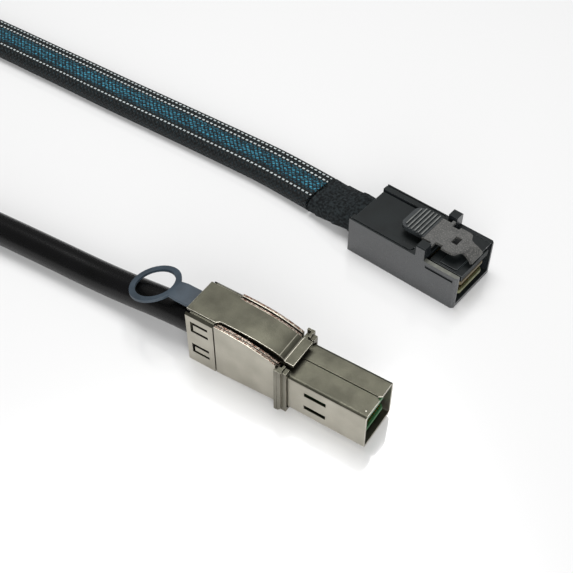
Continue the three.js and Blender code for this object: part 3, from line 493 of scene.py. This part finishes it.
# Extrudes a closed outline along a line, with UV in metres: around the outline and along the line
def sweep(outline, line):
    mesh = bmesh.new()
    layer = mesh.loops.layers.uv.new("UVMap")
    ring = [mesh.verts.new((a, b, 0)) for a, b in outline]
    edges = [mesh.edges.new((ring[i - 1], ring[i])) for i in range(len(ring))]
    bmesh.ops.transform(mesh, matrix=lineFrame(line, 0), verts=ring)
    first = list(ring)
    around = [0]
    for a, b in zip(outline, outline[1:] + outline[:1]):
        around.append(around[-1] + math.dist(a, b))
    travelled = 0
    for i in range(1, len(line)):
        made = bmesh.ops.extrude_edge_only(mesh, edges=edges)["geom"]
        fresh = {v for v in made if isinstance(v, bmesh.types.BMVert)}
        ahead = [next(e.other_vert(v) for e in v.link_edges if e.other_vert(v) in fresh) for v in ring]
        step = lineFrame(line, i) @ lineFrame(line, i - 1).inverted()
        bmesh.ops.transform(mesh, matrix=step, verts=ahead)
        nextTravelled = travelled + (line[i] - line[i - 1]).length
        place = {v: (j, travelled) for j, v in enumerate(ring)}
        place.update({v: (j, nextTravelled) for j, v in enumerate(ahead)})
        for face in (f for f in made if isinstance(f, bmesh.types.BMFace)):
            spots = [place[loop.vert][0] for loop in face.loops]
            closing = max(spots) - min(spots) > 1
            for loop, spot in zip(face.loops, spots):
                turn = len(ring) if closing and spot == 0 else spot
                loop[layer].uv = (around[turn], place[loop.vert][1])
        edges = [e for e in made if isinstance(e, bmesh.types.BMEdge) and all(v in fresh for v in e.verts)]
        ring, travelled = ahead, nextTravelled
    bmesh.ops.contextual_create(mesh, geom=first)
    bmesh.ops.contextual_create(mesh, geom=ring)
    bmesh.ops.recalc_face_normals(mesh, faces=mesh.faces)
    return mesh


# Braided black sleeve over blue ribbon wires, with rows of white tracer threads
sleeve = {
    "width": 13.0, "thick": 5.0, "corner": 2.1, "strand": 1.05,
    "dashPitch": 1.45, "dashLength": 0.78, "dashWidth": 0.5,
    "rows": (3.1, 4.8, 11.9), "band": (5.2, 6.4, 9.6, 11.0), "ribbon": ("#07303e", "#3f93ad"),
    "mesh": ("#020303", "#0c1112"), "tracer": "#bcc4c4", "wire": 1.27, "wireGap": "#061c24",
}


def braidedSleeve(name, s):
    made, tree = startMaterial(name)
    place = add(tree, "UVMap", uv_map="UVMap")
    inMillimetres = add(tree, "VectorMath", {0: place.outputs[0], "Scale": 1000}, operation="SCALE")
    split = add(tree, "SeparateXYZ", {0: inMillimetres.outputs[0]})
    girth = 2 * (s["width"] + s["thick"] - 4 * s["corner"]) + 2 * math.pi * s["corner"]

    def reckon(operation, a, b=0.0):
        return add(tree, "Math", {0: a, 1: b}, operation=operation).outputs[0]

    def ramp(value, low, high, start=0, end=1):
        return add(tree, "MapRange", {
            "Value": value, "From Min": low, "From Max": high, "To Min": start, "To Max": end}).outputs[0]

    along = split.outputs[1]
    around = reckon("MODULO", split.outputs[0], girth / 2)  # both faces alike
    turn = 2 * math.pi / s["strand"] * 0.7
    left = reckon("SINE", reckon("MULTIPLY", reckon("ADD", around, along), turn))
    right = reckon("SINE", reckon("MULTIPLY", reckon("SUBTRACT", around, along), turn))
    crossed = reckon("MAXIMUM", left, right)  # strands of both directions
    under = grainOf(tree, 0.8, 2, 0.38, 0.62)
    wires = ramp(reckon("PINGPONG", around, s["wire"] / 2), 0.05, 0.3)  # 0 in the gaps between wires
    ribbon = blendOf(tree, wires, s["wireGap"], blendOf(tree, under, *s["ribbon"]))
    strand = blendOf(tree, under, *s["mesh"])
    a, b, c, d = s["band"]
    middle = reckon("MULTIPLY", ramp(around, a, b), ramp(around, c, d, 1, 0))
    holes = reckon("MULTIPLY", ramp(crossed, 0.42, 0.8, 1, 0), ramp(middle, 0, 1, 0.04, 1))
    tone = blendOf(tree, holes, strand, ribbon)
    dash = reckon("LESS_THAN", reckon("PINGPONG", along, s["dashPitch"] / 2), s["dashLength"] / 2)
    for row in s["rows"]:
        near = reckon("LESS_THAN", reckon("ABSOLUTE", reckon("SUBTRACT", around, row)), s["dashWidth"] / 2)
        tone = blendOf(tree, reckon("MULTIPLY", near, dash), tone, s["tracer"])
    endMaterial(tree, {
        "Base Color": tone, "Roughness": 0.6, "IOR": 1.34, "Normal": bumpOf(tree, crossed, 0.12),
    })
    return made


def roundedOutline(width, thick, corner, perCorner):
    made = []
    for cx, cy, start in ((1, 1, 0), (-1, 1, 90), (-1, -1, 180), (1, -1, 270)):
        for i in range(perCorner + 1):
            turn = math.radians(start + 90 * i / perCorner)
            made.append(((width / 2 - corner) * cx + corner * math.cos(turn),
                         (thick / 2 - corner) * cy + corner * math.sin(turn)))
    return [(a / 1000, b / 1000) for a, b in made]


roundLine = smoothLine(roundRoute, 6)
jacket = {"radius": 0.004, "sides": 32}
turns = [2 * math.pi * t / jacket["sides"] for t in range(jacket["sides"])]
circle = [(jacket["radius"] * math.cos(t), jacket["radius"] * math.sin(t)) for t in turns]
roundCable = addPiece("round_cable_jacket", sweep(circle, roundLine), root, [jacketBlack])
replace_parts(roundCable, "cable_round")
flatLine = smoothLine(flatRoute, 6)
outline = roundedOutline(sleeve["width"], sleeve["thick"], sleeve["corner"], 6)
flatCable = addPiece("flat_cable_sleeve", sweep(outline, flatLine), root,
                     [braidedSleeve("braided_sleeve", sleeve)])
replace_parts(flatCable, "cable_sleeve")


# Soft solids refined: more rings along the piece, then ridges pressed inwards
def ridged(node, name, material, s):
    mesh = bmesh.new()
    mesh.from_mesh(parts[node].data)
    bmesh.ops.remove_doubles(mesh, verts=mesh.verts, dist=2e-6)
    low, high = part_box(node)
    for i in range(1, s["rings"]):
        x = low[0] + (high[0] - low[0]) * i / s["rings"]
        bmesh.ops.bisect_plane(mesh, geom=mesh.verts[:] + mesh.edges[:] + mesh.faces[:],
                               plane_co=(x, 0, 0), plane_no=(1, 0, 0), dist=1e-6)
    inner = [v for v in mesh.verts if low[0] + s["stiffEnd"] < v.co.x < high[0] - s["stiffEnd"]]
    bmesh.ops.smooth_vert(mesh, verts=inner, factor=0.3, use_axis_x=False, use_axis_y=True, use_axis_z=True)
    mesh.normal_update()
    for vert in mesh.verts:
        turned = (vert.co.x - low[0]) * 1000 / s["pitch"] + vert.co.y * 1000 * s["lean"]
        vert.co -= vert.normal * s["depth"] / 1000 * (turned % 1)
    made = addPiece(name, mesh, root, [material], crease=50)
    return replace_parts(made, node)


boot = ridged("cable_boot", "boot_sleeve", bootBlack, {
    "rings": 60, "pitch": 17, "lean": 0.0, "depth": 0.1, "stiffEnd": 4e-4})
ridged("int_cable_wrap", "tape_wrap", wrapTape, {
    "rings": 48, "pitch": 5.5, "lean": 0.03, "depth": 0.28, "stiffEnd": 4e-4})
print("cables made")


# Studio: pale floor that stays white to the eye, soft world, one key from behind and a wide fill
studio = {
    "floor": "#ececec", "gloss": 0.3, "polish": 0.14, "white": 0.13, "world": 0.24, "aim": (0, 0.03, 0),
    "lamps": {
        "key": {"place": (-0.12, 0.13, 0.6), "size": 0.36, "power": 3.4},
        "fill": {"place": (0.412875, -0.596175, 0.3), "size": 0.6, "power": 6.0},
    },
}


def addStudio(s):
    mesh = bmesh.new()
    bmesh.ops.create_grid(mesh, x_segments=1, y_segments=1, size=3)
    data = bpy.data.meshes.new("floor")
    mesh.to_mesh(data)
    mesh.free()
    made, tree = startMaterial("floor")
    path = add(tree, "LightPath")
    seen = path.outputs["Is Camera Ray"]
    for other in ("Is Glossy Ray", "Is Transmission Ray"):
        seen = add(tree, "Math", {0: seen, 1: path.outputs[other]}, operation="MAXIMUM").outputs[0]
    matt = add(tree, "BsdfDiffuse", {"Color": linear(s["floor"])})
    polish = add(tree, "BsdfGlossy", {"Roughness": s["polish"]})
    plate = add(tree, "MixShader", {0: s["gloss"], 1: matt.outputs[0], 2: polish.outputs[0]})
    white = add(tree, "Emission", {"Color": (1, 1, 1, 1), "Strength": s["white"]})
    lit = add(tree, "AddShader", {0: plate.outputs[0], 1: white.outputs[0]})
    mixed = add(tree, "MixShader", {0: seen, 1: matt.outputs[0], 2: lit.outputs[0]})
    add(tree, "OutputMaterial", {"Surface": mixed.outputs[0]})
    data.materials.append(made)
    floor = bpy.data.objects.new("floor", data)
    bpy.context.scene.collection.objects.link(floor)
    world = bpy.data.worlds.new("studio")
    bpy.context.scene.world = world
    world.use_nodes = True
    world.node_tree.nodes["Background"].inputs[0].default_value = (1, 1, 1, 1)
    world.node_tree.nodes["Background"].inputs[1].default_value = s["world"]
    for name, lamp in s["lamps"].items():
        light = bpy.data.lights.new(name, "AREA")
        light.size = lamp["size"]
        light.energy = lamp["power"]
        made = bpy.data.objects.new(name, light)
        made.location = lamp["place"]
        made.rotation_euler = (Vector(s["aim"]) - Vector(lamp["place"])).to_track_quat("-Z", "Y").to_euler()
        bpy.context.scene.collection.objects.link(made)


addStudio(studio)
bpy.context.scene.view_settings.view_transform = "Standard"
print("studio lit")
